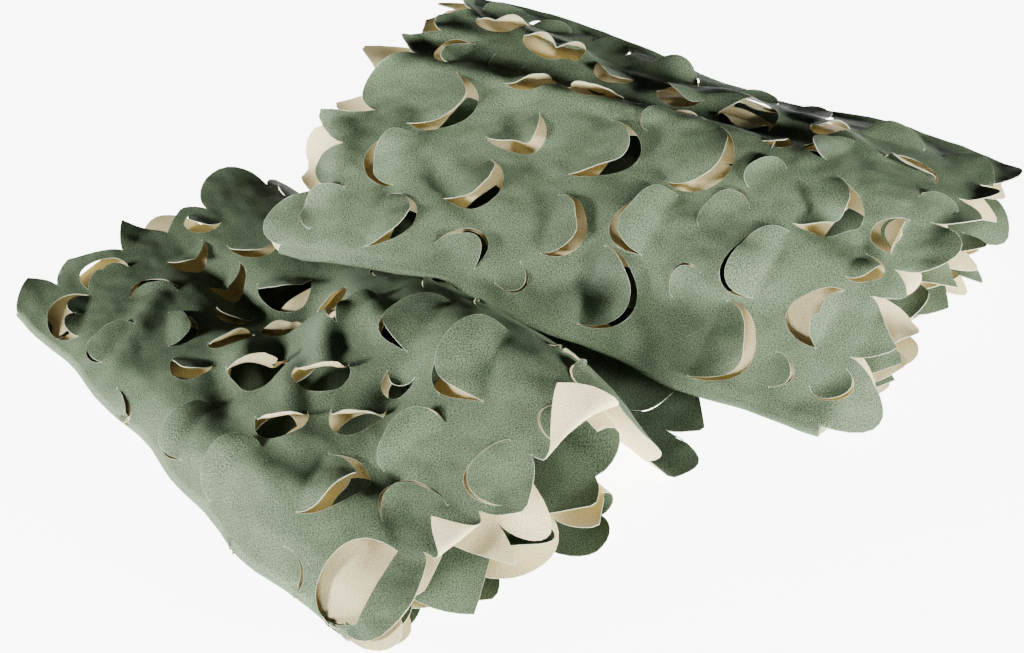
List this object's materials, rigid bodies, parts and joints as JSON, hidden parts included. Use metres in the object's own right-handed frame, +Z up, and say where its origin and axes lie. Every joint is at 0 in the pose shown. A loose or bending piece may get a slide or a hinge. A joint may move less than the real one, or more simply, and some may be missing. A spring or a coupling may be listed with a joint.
{
  "type": "camouflage net",
  "caption": "Leaf-cut cloth camouflage net, green on one side and sand on the other, folded back and forth into two loose packs laid askew.",
  "frame": {"origin": "centre of the folded net's bounding box, on the surface it lies on", "axes": "+X towards the right of the front view, the longest way across the folded net; +Y towards the back; +Z up, the shortest way"},
  "size_m": [0.844, 0.675, 0.1734],
  "materials": {
    "green_cloth": "fine satin weave, sand colour on the reverse"
  },
  "bodies": {
    "root": {"camouflage_net": "green_cloth"}
  },
  "joints": []
}
